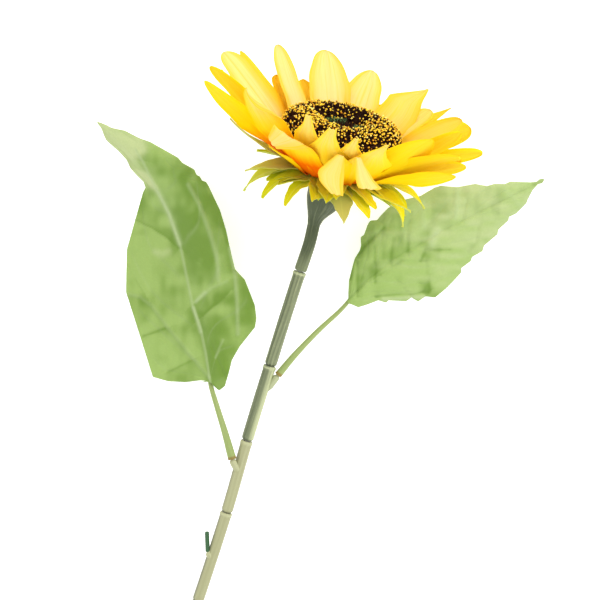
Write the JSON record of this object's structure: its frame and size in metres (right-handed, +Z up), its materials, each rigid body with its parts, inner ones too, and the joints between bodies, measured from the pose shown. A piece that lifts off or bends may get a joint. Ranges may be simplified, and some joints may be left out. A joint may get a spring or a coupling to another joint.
{
  "type": "artificial cut sunflower",
  "caption": "Artificial cut sunflower lying on its side: dished bristle disc, rows of petals, sepals, a funnel neck, and a jointed stem with leaves and a spare peg.",
  "frame": {"origin": "on the surface that the flower lies on, under the middle of its bounding box", "axes": "+Y from the stem's cut end towards the head, +Z up from the surface"},
  "size_m": [0.23, 0.3294, 0.1195],
  "materials": {
    "petal_fabric": "matt dyed satin weave, shaded from pale lemon at the tips to orange at the roots",
    "sepal_fabric": "matt dyed weave, yellow-green with paler undersides",
    "leaf_fabric": "matt dyed weave with pressed veins, pale green",
    "upper_stem_plastic": "moulded with fine lengthwise ridges, grey-green",
    "lower_stem_plastic": "smooth moulded, beige-green",
    "stalk_plastic": "smooth moulded, pale green",
    "peg_plastic": "smooth moulded, dark green",
    "steel": "plain drawn wire",
    "bristle": "dense dark brown filaments with yellow tips",
    "centre_bristle": "dense green filaments"
  },
  "bodies": {
    "root": {"calyx_lower": "sepal_fabric", "calyx_upper": "sepal_fabric", "disc_centre": "centre_bristle", "disc_core": "bristle", "disc_holder": "peg_plastic", "left_leaf_blade": "leaf_fabric", "left_petiole": "stalk_plastic", "neck_cup": "upper_stem_plastic", "petal_inner_01": "petal_fabric", "petal_inner_02": "petal_fabric", "petal_inner_03": "petal_fabric", "petal_inner_04": "petal_fabric", "petal_inner_05": "petal_fabric", "petal_inner_06": "petal_fabric", "petal_inner_07": "petal_fabric", "petal_inner_08": "petal_fabric", "petal_inner_09": "petal_fabric", "petal_inner_10": "petal_fabric", "petal_inner_11": "petal_fabric", "petal_inner_12": "petal_fabric", "petal_middle_01": "petal_fabric", "petal_middle_02": "petal_fabric", "petal_middle_03": "petal_fabric", "petal_middle_04": "petal_fabric", "petal_middle_05": "petal_fabric", "petal_middle_06": "petal_fabric", "petal_middle_07": "petal_fabric", "petal_middle_08": "petal_fabric", "petal_middle_09": "petal_fabric", "petal_middle_10": "petal_fabric", "petal_middle_11": "petal_fabric", "petal_middle_12": "petal_fabric", "petal_middle_13": "petal_fabric", "petal_outer_01": "petal_fabric", "petal_outer_02": "petal_fabric", "petal_outer_03": "petal_fabric", "petal_outer_04": "petal_fabric", "petal_outer_05": "petal_fabric", "petal_outer_06": "petal_fabric", "petal_outer_07": "petal_fabric", "petal_outer_08": "petal_fabric", "petal_outer_09": "petal_fabric", "right_leaf_blade": "leaf_fabric", "right_petiole": "stalk_plastic", "spare_leaf_peg": "peg_plastic", "stem_sleeve_1": "upper_stem_plastic", "stem_sleeve_2": "upper_stem_plastic", "stem_sleeve_3": "lower_stem_plastic", "stem_sleeve_4": "lower_stem_plastic", "stem_sleeve_5": "lower_stem_plastic", "stem_wire": "steel"}
  },
  "joints": []
}
